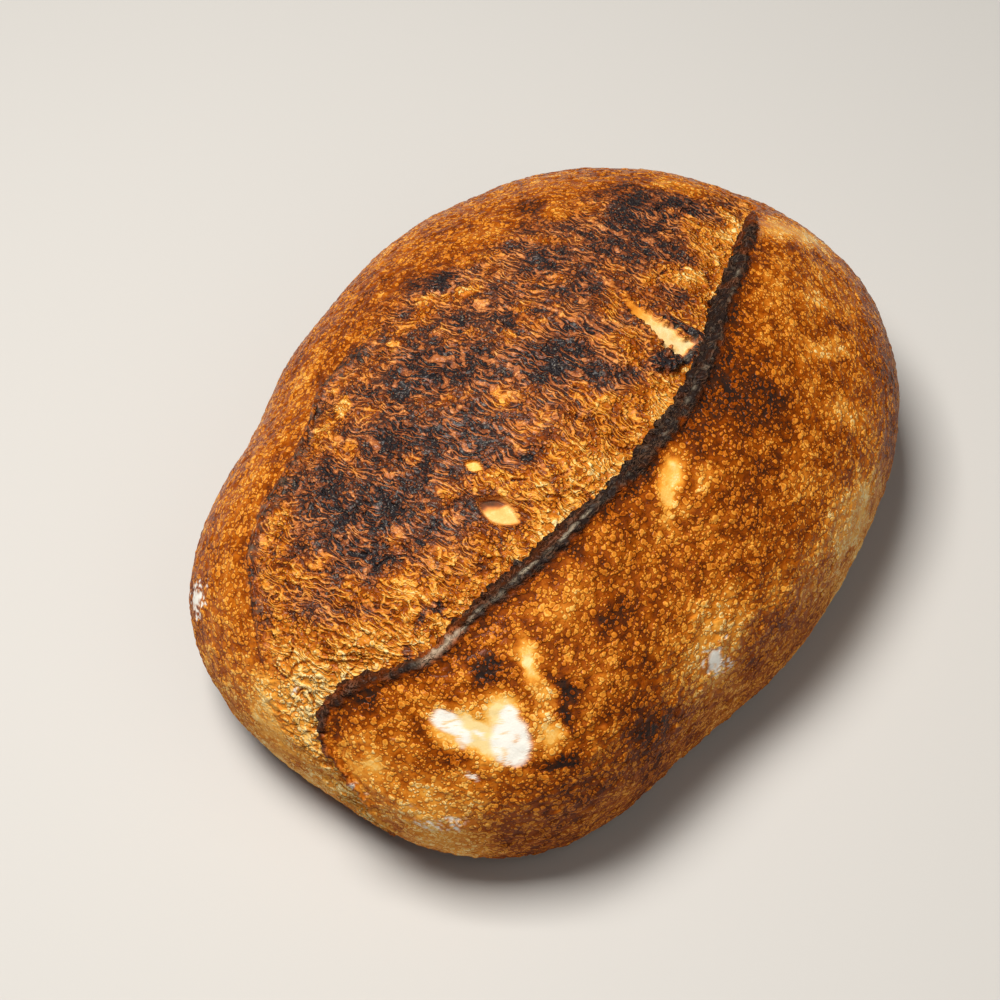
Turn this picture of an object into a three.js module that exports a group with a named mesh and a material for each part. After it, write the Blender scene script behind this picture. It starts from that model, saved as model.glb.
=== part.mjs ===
// A rustic sourdough loaf, baked whole and uncut: one solid piece of bread.
// Millimetres, +Z up, +X along the loaf towards its tip, origin under the middle of the loaf at table height.
// The loaf is one closed skin of rows and columns. Rows run from the tip to the heel, columns run round it.
// The first columns follow the ear, the lip of crust that one long slash left standing,
// so that its edge stays sharp.
import * as THREE from "three";
import { mergeVertices } from "three/addons/utils/BufferGeometryUtils.js";

const DEGREE = Math.PI / 180;

// The dough, before its slash opened
const HALF_LENGTH = 131;
const HALF_WIDTH = 98;
const OUTLINE_SQUARENESS = 2.5; // 2 is an ellipse, more is boxier
const HEIGHT = 100;
const BELT_HEIGHT = 36; // the widest level
const CROWN_FULLNESS = 2.5; // 2 is an elliptic dome, more is fuller
const BASE_SHARE = 0.86; // the flat base, as a share of the outline
const TUCK = 40 * DEGREE; // how much of the half turn under the belt is the rounded lower edge

// Where the outline is pinched (below 0) or swollen: millimetres, and the bearing and spread in degrees
const PINCHES = [
  { depth: -5.7, bearing: 120, spread: 9 }, // left waist
  { depth: 1.5, bearing: 147, spread: 5 }, // left heel shoulder
  { depth: -8.5, bearing: 237, spread: 16 }, // right waist
  { depth: -2, bearing: 50, spread: 10 }, // tip, left of the slash
  { depth: 1.6, bearing: 308, spread: 12 }, // tip, right of the slash
  { depth: -8, bearing: 25, spread: 15.5 }, // tip end
  { depth: 1.2, bearing: 36, spread: 8 }, // tip shoulder
  { depth: 1.4, bearing: 213, spread: 9 }, // heel, right of the slash
  { depth: -1.8, bearing: 176, spread: 12 }, // heel end
];

// The rows' poles lie on this line through the dough, close to where the slash starts and ends
const TIP_POLE = { bearing: 6, tilt: 62 };

// Crest of the ear over the crust, from the tip down to the foot of the heel
const EAR_ROUTE = [
  [112, -8.2, 72],
  [104, -12.2, 78],
  [87, -19.4, 86],
  [70, -25, 90.8],
  [58, -27.8, 93],
  [47, -31, 95],
  [36, -34.5, 95],
  [26, -37, 96],
  [10, -39, 96],
  [-5, -39, 96],
  [-22, -37, 95],
  [-35, -34, 95],
  [-53, -31, 93],
  [-68, -27, 91],
  [-82, -23, 88],
  [-95, -19, 83],
  [-105, -11, 78],
  [-111, -4, 75],
  [-116, 1, 70],
  [-121, 3, 65],
  [-126, 1, 59],
  [-128, -7, 54],
  [-129, -14, 49],
  [-130, -20, 38],
  [-128, -25, 20],
];

// Where the torn bloom meets the left skin again
const CREASE_ROUTE = [
  [114, 4, 71],
  [100, 10, 79],
  [80, 18, 87],
  [60, 25, 92],
  [43, 34, 94],
  [25, 41, 94],
  [4, 52, 92],
  [-14, 59, 89],
  [-29, 64, 85],
  [-39, 64, 83],
  [-51, 59, 85],
  [-65, 56, 85],
  [-83, 54, 80],
  [-96, 49, 76],
  [-105, 41, 73],
  [-113, 34, 69],
  [-122, 25, 62],
  [-129, 16, 50],
  [-131, 3, 32],
];

// Relief of the slash
const EAR_LIFT = 5.2; // the lip stands this far over the dough
const EAR_REACH = 24; // and its swelling runs this far into the right skin
const EAR_TEETH = 1.3; // the lip's torn edge runs in and out by this much
const VALLEY_DEPTH = 2.4; // the bloom lies this far under the dough beside the lip
const VALLEY_REACH = 11;
const CREASE_RIDGE = 1;
const CREASE_GROOVE = 1;
// Degrees from the tip pole over which the ear and the crease grow and die
const EAR_FADE = { tip: [6, 26], heel: [138, 168] };
const CREASE_FADE = { tip: [60, 90], heel: [112, 135] };
const LEAST_BLOOM = 14 * DEGREE;

// How wide the ear is along the loaf: [place along +X, share of the lip's full section]
const EAR_WIDTHS = [
  [-126, 0.5],
  [-112, 0.75],
  [-96, 0.66],
  [-84, 0.7],
  [-78, 0.82],
  [-70, 1.15],
  [-60, 1.15],
  [-47, 1.25],
  [-38, 1.08],
  [-28, 0.88],
  [10, 0.86],
  [40, 0.82],
  [50, 0.78],
  [75, 0.7],
  [90, 0.64],
  [106, 0.4],
];

// The lip's section, from the right skin to the bloom: [across, share of the lift, share of the valley]
const LIP_SECTION = [
  [-7, 0.86, 0],
  [-3, 0.99, 0],
  [0, 1.1, 0],
  [2.6, 0.86, 0],
  [4.4, 0.5, 0],
  [4.3, 0.22, 0.2],
  [3.4, 0, 0.85],
  [5.2, 0, 1.05],
];
const LIP_EDGE = 4; // across, where the teeth are
const TEETH_REACH = 3; // and they fade within this much of it
const LEAST_EAR = 0.4; // the lip's share of its width where the ear has died away
const LEAST_RADIUS = 14; // nearer to the poles than this, the lip grows no wider in angle
const CREASE_HALF = 2; // half width of the groove where the bloom meets the left skin
const CREASE_WIDTH = 6; // the groove and the low ridge beside it
const BASE_EDGE = 8; // the relief dies away below this height, so that nothing bulges through the flat base

// Crags of the torn bloom and the unevenness of the whole crust
const CRAG_HEIGHT = 1.1;
const UNEVENNESS = 0.9;

// Swellings: place in plan, length, width, turn from +X in degrees, and rise
const RELIEFS = [
  { x: -8, y: 12, length: 150, width: 80, turn: 8, rise: 3.2 }, // belly of the bloom
  { x: 24, y: -25.2, length: 14, width: 9, turn: -35, rise: 3 }, // charred flap beside the tear
  { x: -89, y: -12, length: 11, width: 6, turn: 30, rise: 2.2 }, // charred nubs behind the ear
  { x: -40, y: 54, length: 11, width: 6, turn: 20, rise: 1.4 }, // pale lump by the crease
  { x: -25, y: 44, length: 14, width: 7, turn: 40, rise: 1.6 }, // curled flake
];

// Burst bubbles of the bloom, deepest at the end that their turn points away from
const BURST_BUBBLES = [
  { x: -50, y: -10.6, length: 15.2, width: 8.4, turn: -86, depth: 3.6 },
  { x: -42, y: 3.4, length: 6.4, width: 4, turn: -80, depth: 1.5 },
];

// The pale tear, a wedge that opens from its start to its end
const TEAR = { start: [35.5, -3], end: [34.5, -28], startWidth: 2, endWidth: 9.2, depth: 2.6 };

const ROWS = 100;
const BLOOM_COLUMNS = 22;
const CREASE_COLUMNS = 2;
const REST_COLUMNS = 27;
const LIP_COLUMNS = LIP_SECTION.length - 1;
const COLUMNS = LIP_COLUMNS + BLOOM_COLUMNS + CREASE_COLUMNS + REST_COLUMNS;

const CRUST_COLOR = 0xb5651d;
const CRUST_ROUGHNESS = 0.55;

const clamp01 = (v) => Math.min(1, Math.max(0, v));
const ramp = (from, to, v) => THREE.MathUtils.smoothstep(v, from, to);

// Plan radius of the dough's outline at a bearing
function outline(bearing) {
  let radius = Math.pow(
    Math.pow(Math.abs(Math.cos(bearing)) / HALF_LENGTH, OUTLINE_SQUARENESS) +
      Math.pow(Math.abs(Math.sin(bearing)) / HALF_WIDTH, OUTLINE_SQUARENESS),
    -1 / OUTLINE_SQUARENESS,
  );
  for (const pinch of PINCHES) {
    const off = Math.cos(bearing - pinch.bearing * DEGREE) - 1;
    radius += pinch.depth * Math.exp(off / (pinch.spread * DEGREE) ** 2);
  }
  return radius;
}

// The unit direction with a bearing in plan and a tilt from straight up
function direction(bearing, tilt) {
  return new THREE.Vector3(
    Math.sin(tilt) * Math.cos(bearing),
    Math.sin(tilt) * Math.sin(bearing),
    Math.cos(tilt),
  );
}

// The dough's surface in a direction: a dome over the belt, a rounded lower edge and a flat base
function dough(toward) {
  const bearing = Math.atan2(toward.y, toward.x);
  const tilt = Math.acos(THREE.MathUtils.clamp(toward.z, -1, 1));
  const below = tilt - Math.PI / 2;
  let share, height;
  if (below <= 0) {
    share = Math.sin(tilt);
    height = BELT_HEIGHT + (HEIGHT - BELT_HEIGHT) * Math.pow(Math.cos(tilt), 2 / CROWN_FULLNESS);
  } else if (below < TUCK) {
    const turn = (below / TUCK) * (Math.PI / 2);
    share = BASE_SHARE + (1 - BASE_SHARE) * Math.cos(turn);
    height = BELT_HEIGHT * (1 - Math.sin(turn));
  } else {
    share = (BASE_SHARE * (Math.PI - tilt)) / (Math.PI / 2 - TUCK);
    height = 0;
  }
  const radius = outline(bearing) * share;
  return new THREE.Vector3(radius * Math.cos(bearing), radius * Math.sin(bearing), height);
}

// The direction whose dough surface passes by a point of the crust
function directionOf([x, y, z]) {
  const bearing = Math.atan2(y, x);
  let tilt;
  if (z >= BELT_HEIGHT) {
    const rise = Math.pow(clamp01((z - BELT_HEIGHT) / (HEIGHT - BELT_HEIGHT)), CROWN_FULLNESS / 2);
    tilt = Math.atan2(Math.hypot(x, y) / outline(bearing), rise);
  } else {
    tilt = Math.PI / 2 + (TUCK * Math.asin(1 - z / BELT_HEIGHT)) / (Math.PI / 2);
  }
  return direction(bearing, tilt);
}

const tipPole = direction(TIP_POLE.bearing * DEGREE, TIP_POLE.tilt * DEGREE);
const rightSide = new THREE.Vector3().crossVectors(tipPole, new THREE.Vector3(0, 0, 1)).normalize();
const crownSide = new THREE.Vector3().crossVectors(rightSide, tipPole);

// Rows are angles from the tip pole, and columns are angles round it from the right side over the crown
function fromRowAndColumn(row, column) {
  return tipPole
    .clone()
    .multiplyScalar(Math.cos(row))
    .addScaledVector(rightSide, Math.sin(row) * Math.cos(column))
    .addScaledVector(crownSide, Math.sin(row) * Math.sin(column));
}

// A route over the crust as a smooth function that gives the column of each row
function routeColumns(route) {
  const knots = route.map((point) => {
    const toward = directionOf(point);
    return {
      row: Math.acos(toward.dot(tipPole)),
      column: Math.atan2(toward.dot(crownSide), toward.dot(rightSide)),
    };
  });
  const slope = (a, b) => (b.column - a.column) / (b.row - a.row);
  return (row) => {
    const last = knots.length - 1;
    if (row <= knots[0].row) return knots[0].column;
    if (row >= knots[last].row) return knots[last].column;
    const i = knots.findIndex((knot) => knot.row > row) - 1;
    const [a, b] = [knots[i], knots[i + 1]];
    const slopeA = i > 0 ? slope(knots[i - 1], b) : 0;
    const slopeB = i + 2 <= last ? slope(a, knots[i + 2]) : 0;
    const gap = b.row - a.row;
    const t = (row - a.row) / gap;
    return (
      a.column * (2 * t ** 3 - 3 * t ** 2 + 1) +
      b.column * (3 * t ** 2 - 2 * t ** 3) +
      slopeA * gap * (t ** 3 - 2 * t ** 2 + t) +
      slopeB * gap * (t ** 3 - t ** 2)
    );
  };
}

const earColumn = routeColumns(EAR_ROUTE);
const creaseColumn = routeColumns(CREASE_ROUTE);

function strength(fade, row) {
  const degrees = row / DEGREE;
  return ramp(fade.tip[0], fade.tip[1], degrees) * (1 - ramp(fade.heel[0], fade.heel[1], degrees));
}

// Slow waves over the whole crust
function unevenness({ x, y, z }) {
  return (
    (Math.sin(x / 17 + 1.3 * Math.sin(y / 23)) +
      Math.sin(y / 13 + z / 19 + 2) +
      Math.sin((x - y) / 29 + z / 11 + 4)) /
    3
  );
}

// Crags of torn crumb: folded ridges that wind and cross, drawn out across the slash
function crags({ x, y }) {
  const bend = 3.4 * Math.sin(x / 9 + 1) + 2.8 * Math.sin(y / 7 + x / 15);
  const drift = 4 * Math.sin(x / 23 + y / 31) + 3 * Math.sin(y / 19 - x / 37 + 1);
  return (
    Math.abs(Math.sin((x + bend) / 5.3 + 1.4 * Math.sin((y + drift) / 12))) +
    Math.abs(Math.sin((x + 0.6 * y + bend + drift) / 7.9 + 2)) +
    0.6 * Math.sin((x - 0.8 * y + 2 * drift) / 6.1) -
    1.2
  );
}

// A place's distances along and across from a mark in plan, as shares of its half length and half width
function offMark({ x, y }, mark) {
  const c = Math.cos(mark.turn * DEGREE);
  const s = Math.sin(mark.turn * DEGREE);
  return {
    along: ((x - mark.x) * c + (y - mark.y) * s) / (mark.length / 2),
    aside: ((y - mark.y) * c - (x - mark.x) * s) / (mark.width / 2),
  };
}

function swellings(point) {
  let rise = 0;
  for (const relief of RELIEFS) {
    const { along, aside } = offMark(point, relief);
    rise += relief.rise * Math.exp(-(along ** 2 + aside ** 2));
  }
  return rise;
}

// How deep the burst bubbles and the tear are cut at a place
function cuts(point) {
  let depth = 0;
  for (const bubble of BURST_BUBBLES) {
    const { along, aside } = offMark(point, bubble);
    const narrowed = Math.max(0.15, 1 - 0.55 * along ** 2);
    const inside = 1 - ramp(0.7, 1.15, Math.hypot(along, aside / narrowed));
    depth += inside * bubble.depth * (0.62 - 0.38 * along + 0.2 * aside);
  }
  const run = [TEAR.end[0] - TEAR.start[0], TEAR.end[1] - TEAR.start[1]];
  const off = [point.x - TEAR.start[0], point.y - TEAR.start[1]];
  const length = Math.hypot(...run);
  const share = (off[0] * run[0] + off[1] * run[1]) / length ** 2;
  const aside = Math.abs(off[0] * run[1] - off[1] * run[0]) / length;
  const halfWidth = (TEAR.startWidth + (TEAR.endWidth - TEAR.startWidth) * clamp01(share)) / 2;
  const between = (1 - ramp(0.6, 1.3, aside / halfWidth)) * ramp(-0.05, 0.3, share);
  return depth + TEAR.depth * between * (1 - ramp(0.95, 1.1, share));
}

function namedReliefs(point) {
  return point.z < BELT_HEIGHT ? 0 : swellings(point) - cuts(point);
}

// The lip's width at a place along the loaf, as a share of its section
function earWidth(x) {
  const last = EAR_WIDTHS.at(-1);
  if (x >= last[0]) return last[1];
  const i = Math.max(1, EAR_WIDTHS.findIndex(([place]) => place > x));
  const [from, to] = [EAR_WIDTHS[i - 1], EAR_WIDTHS[i]];
  return from[1] + (to[1] - from[1]) * clamp01((x - from[0]) / (to[0] - from[0]));
}

// The outward normal of the dough at a row and column
function doughNormal(row, column) {
  const step = 1e-3;
  const at = (r, c) => dough(fromRowAndColumn(r, c));
  const alongRows = at(row + step, column).sub(at(row - step, column));
  const round = at(row, column + step).sub(at(row, column - step));
  return round.cross(alongRows).normalize();
}

// The finished crust: row from 0 at the tip pole to 1 at the heel pole, column from 0 to 1 round the loaf
function crust(rowShare, columnShare) {
  const row = rowShare * Math.PI;
  const ear = earColumn(row);
  const crease = Math.max(creaseColumn(row), ear + LEAST_BLOOM);
  const perMillimetre = 1 / Math.max(LEAST_RADIUS, doughRadius(row, ear));
  const earStrength = strength(EAR_FADE, row);
  const creaseStrength = strength(CREASE_FADE, row);
  const lipShare = LEAST_EAR + (1 - LEAST_EAR) * earStrength;
  const lipWidth = lipShare * earWidth(dough(fromRowAndColumn(row, ear)).x);
  const station = columnShare * COLUMNS;
  const lipStart = LIP_SECTION[0][0];
  const lipEnd = LIP_SECTION[LIP_COLUMNS][0];
  const teeth = EAR_TEETH * Math.sin(row * 61 + 2 * Math.sin(row * 17)) * Math.sin(row * 27 + 1);

  let across, column;
  let rise = 0;
  let bloom = 0;
  if (station <= LIP_COLUMNS) {
    const k = Math.min(LIP_COLUMNS - 1, Math.floor(station));
    const part = station - k;
    const [a, b] = [LIP_SECTION[k], LIP_SECTION[k + 1]];
    const mix = (i) => a[i] + (b[i] - a[i]) * part;
    const toothed = teeth * clamp01(1 - Math.abs(mix(0) - LIP_EDGE) / TEETH_REACH);
    across = mix(0) * lipWidth + toothed * earStrength;
    column = ear + across * perMillimetre;
    rise = earStrength * (EAR_LIFT * mix(1) - VALLEY_DEPTH * mix(2));
    bloom = clamp01(mix(2)) * earStrength;
  } else if (station <= LIP_COLUMNS + BLOOM_COLUMNS) {
    const part = (station - LIP_COLUMNS) / BLOOM_COLUMNS;
    const start = ear + lipEnd * lipWidth * perMillimetre;
    const end = crease - CREASE_HALF * perMillimetre;
    column = start + (end - start) * part;
    across = (column - ear) / perMillimetre;
    rise = -earStrength * VALLEY_DEPTH * Math.exp(-(((across - lipEnd) / VALLEY_REACH) ** 2));
    rise -= creaseStrength * CREASE_GROOVE * ramp(0.8, 1, part);
    bloom = ramp(0, 0.05, part) * (1 - ramp(0.93, 1, part));
  } else {
    const start = crease - CREASE_HALF * perMillimetre;
    const skin = start + CREASE_WIDTH * perMillimetre;
    const end = ear + 2 * Math.PI + lipStart * lipWidth * perMillimetre;
    const part = (station - LIP_COLUMNS - BLOOM_COLUMNS) / (CREASE_COLUMNS + REST_COLUMNS);
    const creasePart = CREASE_COLUMNS / (CREASE_COLUMNS + REST_COLUMNS);
    if (part < creasePart) {
      const t = part / creasePart;
      column = start + t * CREASE_WIDTH * perMillimetre;
      const ridge = CREASE_RIDGE * Math.sin(Math.PI * clamp01(t * 1.2));
      rise = creaseStrength * (ridge - CREASE_GROOVE * (1 - ramp(0, 0.4, t)));
    } else {
      const t = (part - creasePart) / (1 - creasePart);
      column = skin + (end - skin) * t;
    }
    across = (column - 2 * Math.PI - ear) / perMillimetre;
    const swelling = LIP_SECTION[0][1] * EAR_LIFT * Math.exp(-(((across - lipStart) / EAR_REACH) ** 2));
    rise += earStrength * swelling;
  }

  const point = dough(fromRowAndColumn(row, column));
  const flat = ramp(0, BASE_EDGE, point.z);
  rise += flat * (UNEVENNESS * unevenness(point) + namedReliefs(point));
  rise += bloom * CRAG_HEIGHT * crags(point);
  return point.addScaledVector(doughNormal(row, column), rise * flat);
}

// Distance of the dough's surface from the line of the poles
function doughRadius(row, column) {
  const step = 0.01;
  return dough(fromRowAndColumn(row, column)).distanceTo(dough(fromRowAndColumn(row, column + step))) / step;
}

function makeLoaf() {
  const ball = new THREE.SphereGeometry(1, COLUMNS, ROWS);
  const position = ball.getAttribute("position");
  const share = ball.getAttribute("uv");
  for (let i = 0; i < position.count; i++) {
    const rowShare = 1 - share.getY(i);
    const atPole = rowShare < 1e-6 || rowShare > 1 - 1e-6;
    const columnShare = atPole || share.getX(i) < 1e-6 ? 0 : 1 - share.getX(i);
    const point = crust(rowShare, columnShare);
    position.setXYZ(i, point.x, point.y, Math.max(0, point.z));
  }
  ball.deleteAttribute("normal");
  ball.deleteAttribute("uv");
  const solid = mergeVertices(ball, 1e-4);
  solid.computeBoundingBox();
  const middle = solid.boundingBox.getCenter(new THREE.Vector3());
  solid.translate(-middle.x, -middle.y, 0); // the slash swells one side, so the middle moves a little
  solid.computeVertexNormals();
  const material = new THREE.MeshStandardMaterial({
    color: CRUST_COLOR,
    roughness: CRUST_ROUGHNESS,
    metalness: 0,
  });
  const loaf = new THREE.Mesh(solid, material);
  loaf.name = "loaf";
  return loaf;
}

const group = new THREE.Group();
group.add(makeLoaf());

export default group;
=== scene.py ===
"""A rustic sourdough loaf: its crust as fine meshes, their baked colours, a floor, light and camera."""

import math

import bpy
import numpy as np
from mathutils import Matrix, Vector


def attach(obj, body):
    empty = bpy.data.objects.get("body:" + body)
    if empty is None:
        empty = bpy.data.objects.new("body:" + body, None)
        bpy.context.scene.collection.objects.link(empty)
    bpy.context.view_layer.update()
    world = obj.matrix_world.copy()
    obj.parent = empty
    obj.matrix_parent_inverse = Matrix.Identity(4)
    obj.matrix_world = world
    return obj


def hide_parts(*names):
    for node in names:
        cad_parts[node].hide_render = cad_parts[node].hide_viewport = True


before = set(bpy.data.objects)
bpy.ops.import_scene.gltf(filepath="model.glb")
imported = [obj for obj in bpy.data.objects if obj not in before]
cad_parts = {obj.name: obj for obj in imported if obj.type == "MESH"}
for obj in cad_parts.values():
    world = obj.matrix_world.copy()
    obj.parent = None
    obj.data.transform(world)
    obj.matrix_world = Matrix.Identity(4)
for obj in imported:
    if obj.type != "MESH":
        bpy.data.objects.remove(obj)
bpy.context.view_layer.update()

MM = 0.001
DEGREE = math.pi / 180

# -------- the dough, in millimetres

HALF_LENGTH = 131
HALF_WIDTH = 98
OUTLINE_SQUARENESS = 2.5
HEIGHT = 100
BELT_HEIGHT = 36
CROWN_FULLNESS = 2.5
BASE_SHARE = 0.86
TUCK = 40 * DEGREE

# Pinches and swellings of the outline: depth, bearing and spread in degrees
PINCHES = [
    (-5.7, 120, 9),  # left waist
    (1.5, 147, 5),  # left heel shoulder
    (-8.5, 237, 16),  # right waist
    (-2, 50, 10),  # tip, left of the slash
    (1.6, 308, 12),  # tip, right of the slash
    (-8, 25, 15.5),  # tip end
    (1.2, 36, 8),  # tip shoulder
    (1.4, 213, 9),  # heel, right of the slash
    (-1.8, 176, 12),  # heel end
]

TIP_POLE = (6, 62)  # bearing and tilt of the line that the rows turn round

EAR_ROUTE = [
    (112, -8.2, 72),
    (104, -12.2, 78),
    (87, -19.4, 86),
    (70, -25, 90.8),
    (58, -27.8, 93),
    (47, -31, 95),
    (36, -34.5, 95),
    (26, -37, 96),
    (10, -39, 96),
    (-5, -39, 96),
    (-22, -37, 95),
    (-35, -34, 95),
    (-53, -31, 93),
    (-68, -27, 91),
    (-82, -23, 88),
    (-95, -19, 83),
    (-105, -11, 78),
    (-111, -4, 75),
    (-116, 1, 70),
    (-121, 3, 65),
    (-126, 1, 59),
    (-128, -7, 54),
    (-129, -14, 49),
    (-130, -20, 38),
    (-128, -25, 20),
]

CREASE_ROUTE = [
    (114, 4, 71),
    (100, 10, 79),
    (80, 18, 87),
    (60, 25, 92),
    (43, 34, 94),
    (25, 41, 94),
    (4, 52, 92),
    (-14, 59, 89),
    (-29, 64, 85),
    (-39, 64, 83),
    (-51, 59, 85),
    (-65, 56, 85),
    (-83, 54, 80),
    (-96, 49, 76),
    (-105, 41, 73),
    (-113, 34, 69),
    (-122, 25, 62),
    (-129, 16, 50),
    (-131, 3, 32),
]

EAR_LIFT = 5.2
EAR_REACH = 24
EAR_TEETH = 1.3
# How wide the ear is along the loaf: place along +X, share of the lip's full section
EAR_WIDTHS = [
    (-126, 0.50),
    (-112, 0.75),
    (-96, 0.66),
    (-84, 0.70),
    (-78, 0.82),
    (-70, 1.15),
    (-60, 1.15),
    (-47, 1.25),
    (-38, 1.08),
    (-28, 0.88),
    (10, 0.86),
    (40, 0.82),
    (50, 0.78),
    (75, 0.70),
    (90, 0.64),
    (106, 0.40),
]
VALLEY_DEPTH = 2.4
VALLEY_REACH = 11
CREASE_RIDGE = 1.0
CREASE_GROOVE = 1.0
CREASE_BEFORE = 2
CREASE_PAST = 4
EAR_FADE = (6, 26, 138, 168)
CREASE_FADE = (60, 90, 112, 135)
LEAST_BLOOM = 14 * DEGREE

# The lip's section: across from the right skin to the bloom, share of the lift, share of the valley
LIP_SECTION = np.array([
    (-7.0, 0.86, 0),
    (-3.0, 0.99, 0),
    (0.0, 1.10, 0),
    (2.6, 0.86, 0),
    (4.4, 0.50, 0),
    (4.3, 0.22, 0.2),
    (3.4, 0.0, 0.85),
    (5.2, 0.0, 1.05),
])

UNEVENNESS = 0.9

# Swellings, pits and tears: x, y, length, width, turn in degrees, rise
RELIEFS = [
    (-8, 12, 150, 80, 8, 3.2),  # belly of the bloom
    (-89, -12, 11, 6, 30, 2.2),  # charred nubs behind the ear
    (-40, 54, 11, 6, 20, 1.4),  # pale lump by the crease
    (-25, 44, 14, 7, 40, 1.6),  # curled flake
]


def smoothstep(low, high, value):
    t = np.clip((value - low) / (high - low), 0, 1)
    return t * t * (3 - 2 * t)


def mix(a, b, t):
    return a + (b - a) * t


def outline(bearing):
    """Plan radius of the dough at a bearing."""
    radius = (
        (np.abs(np.cos(bearing)) / HALF_LENGTH) ** OUTLINE_SQUARENESS
        + (np.abs(np.sin(bearing)) / HALF_WIDTH) ** OUTLINE_SQUARENESS
    ) ** (-1 / OUTLINE_SQUARENESS)
    for depth, middle, spread in PINCHES:
        off = np.cos(bearing - middle * DEGREE) - 1
        radius = radius + depth * np.exp(off / (spread * DEGREE) ** 2)
    return radius


def direction(bearing, tilt):
    return np.stack([np.sin(tilt) * np.cos(bearing), np.sin(tilt) * np.sin(bearing), np.cos(tilt)], -1)


def dough(toward):
    """The dough's surface in a direction: a dome over the belt, a rounded lower edge and a flat base."""
    bearing = np.arctan2(toward[..., 1], toward[..., 0])
    tilt = np.arccos(np.clip(toward[..., 2], -1, 1))
    below = tilt - math.pi / 2
    turn = np.clip(below / TUCK, 0, 1) * (math.pi / 2)
    edge = BASE_SHARE + (1 - BASE_SHARE) * np.cos(turn)
    base = BASE_SHARE * (math.pi - tilt) / (math.pi / 2 - TUCK)
    share = np.where(below <= 0, np.sin(tilt), np.where(below < TUCK, edge, base))
    dome = BELT_HEIGHT + (HEIGHT - BELT_HEIGHT) * np.maximum(np.cos(tilt), 0) ** (2 / CROWN_FULLNESS)
    height = np.where(below <= 0, dome, BELT_HEIGHT * (1 - np.sin(turn)))
    radius = outline(bearing) * share
    return np.stack([radius * np.cos(bearing), radius * np.sin(bearing), height], -1)


def direction_of(point):
    """The direction whose dough surface passes by a point of the crust."""
    x, y, z = point
    bearing = math.atan2(y, x)
    if z >= BELT_HEIGHT:
        rise = min(1, (z - BELT_HEIGHT) / (HEIGHT - BELT_HEIGHT)) ** (CROWN_FULLNESS / 2)
        tilt = math.atan2(math.hypot(x, y) / float(outline(bearing)), rise)
    else:
        tilt = math.pi / 2 + TUCK * math.asin(1 - z / BELT_HEIGHT) / (math.pi / 2)
    return direction(bearing, tilt)


TIP = direction(TIP_POLE[0] * DEGREE, TIP_POLE[1] * DEGREE)
RIGHT = np.cross(TIP, (0, 0, 1))
RIGHT /= np.linalg.norm(RIGHT)
CROWN = np.cross(RIGHT, TIP)


def from_row_and_column(row, column):
    row, column = np.broadcast_arrays(row, column)
    across = (np.sin(row) * np.cos(column))[..., None] * RIGHT
    up = (np.sin(row) * np.sin(column))[..., None] * CROWN
    return np.cos(row)[..., None] * TIP + across + up


def route_columns(route, rows):
    """The column that a route over the crust has in each row, smooth between its points."""
    toward = np.array([direction_of(point) for point in route])
    knots = np.arccos(toward @ TIP)
    columns = np.arctan2(toward @ CROWN, toward @ RIGHT)
    slopes = np.zeros(len(knots))
    slopes[1:-1] = (columns[2:] - columns[:-2]) / (knots[2:] - knots[:-2])
    rows = np.clip(rows, knots[0], knots[-1])
    i = np.clip(np.searchsorted(knots, rows, side="right") - 1, 0, len(knots) - 2)
    gap = knots[i + 1] - knots[i]
    t = (rows - knots[i]) / gap
    return (
        columns[i] * (2 * t**3 - 3 * t**2 + 1)
        + columns[i + 1] * (3 * t**2 - 2 * t**3)
        + slopes[i] * gap * (t**3 - 2 * t**2 + t)
        + slopes[i + 1] * gap * (t**3 - t**2)
    )


def strength(fade, row):
    """How strong a feature is in a row, which fades in after the tip and out before the heel."""
    tip_start, tip_end, heel_start, heel_end = fade
    degrees = row / DEGREE
    return smoothstep(tip_start, tip_end, degrees) * (1 - smoothstep(heel_start, heel_end, degrees))


def slow_waves(p):
    """Long low swellings of the dough, from -1 to 1."""
    x, y, z = p[..., 0], p[..., 1], p[..., 2]
    along = np.sin(x / 17 + 1.3 * np.sin(y / 23))
    over = np.sin(y / 13 + z / 19 + 2)
    askew = np.sin((x - y) / 29 + z / 11 + 4)
    return (along + over + askew) / 3


def oval(p, x, y, length, width, turn):
    """Squared distance from a place in plan, 1 on the oval's edge."""
    c = math.cos(turn * DEGREE)
    s = math.sin(turn * DEGREE)
    along = ((p[..., 0] - x) * c + (p[..., 1] - y) * s) / (length / 2)
    across = ((p[..., 1] - y) * c - (p[..., 0] - x) * s) / (width / 2)
    return along**2 + across**2


def named_reliefs(p):
    rise = np.zeros(p.shape[:-1])
    for x, y, length, width, turn, height in RELIEFS:
        rise += height * np.exp(-oval(p, x, y, length, width, turn))
    return rise * (p[..., 2] > BELT_HEIGHT)


# -------- noise, the same on every run


def lattice(cell, seed):
    """A scrambled whole number for each cell of a grid in space."""
    cell = cell.astype(np.uint32)
    h = cell[..., 0] * np.uint32(73856093)
    h ^= cell[..., 1] * np.uint32(19349663)
    h ^= cell[..., 2] * np.uint32(83492791)
    h ^= np.uint32((seed * 2654435761) & 0xFFFFFFFF)
    h ^= h >> np.uint32(13)
    h *= np.uint32(1274126177)
    h ^= h >> np.uint32(16)
    h *= np.uint32(2246822519)
    h ^= h >> np.uint32(15)
    return h


def draws(h):
    """Three numbers from 0 to 1 out of each scrambled one."""
    return [((h >> np.uint32(10 * k)) & np.uint32(1023)) / 1023 for k in range(3)]


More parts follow.
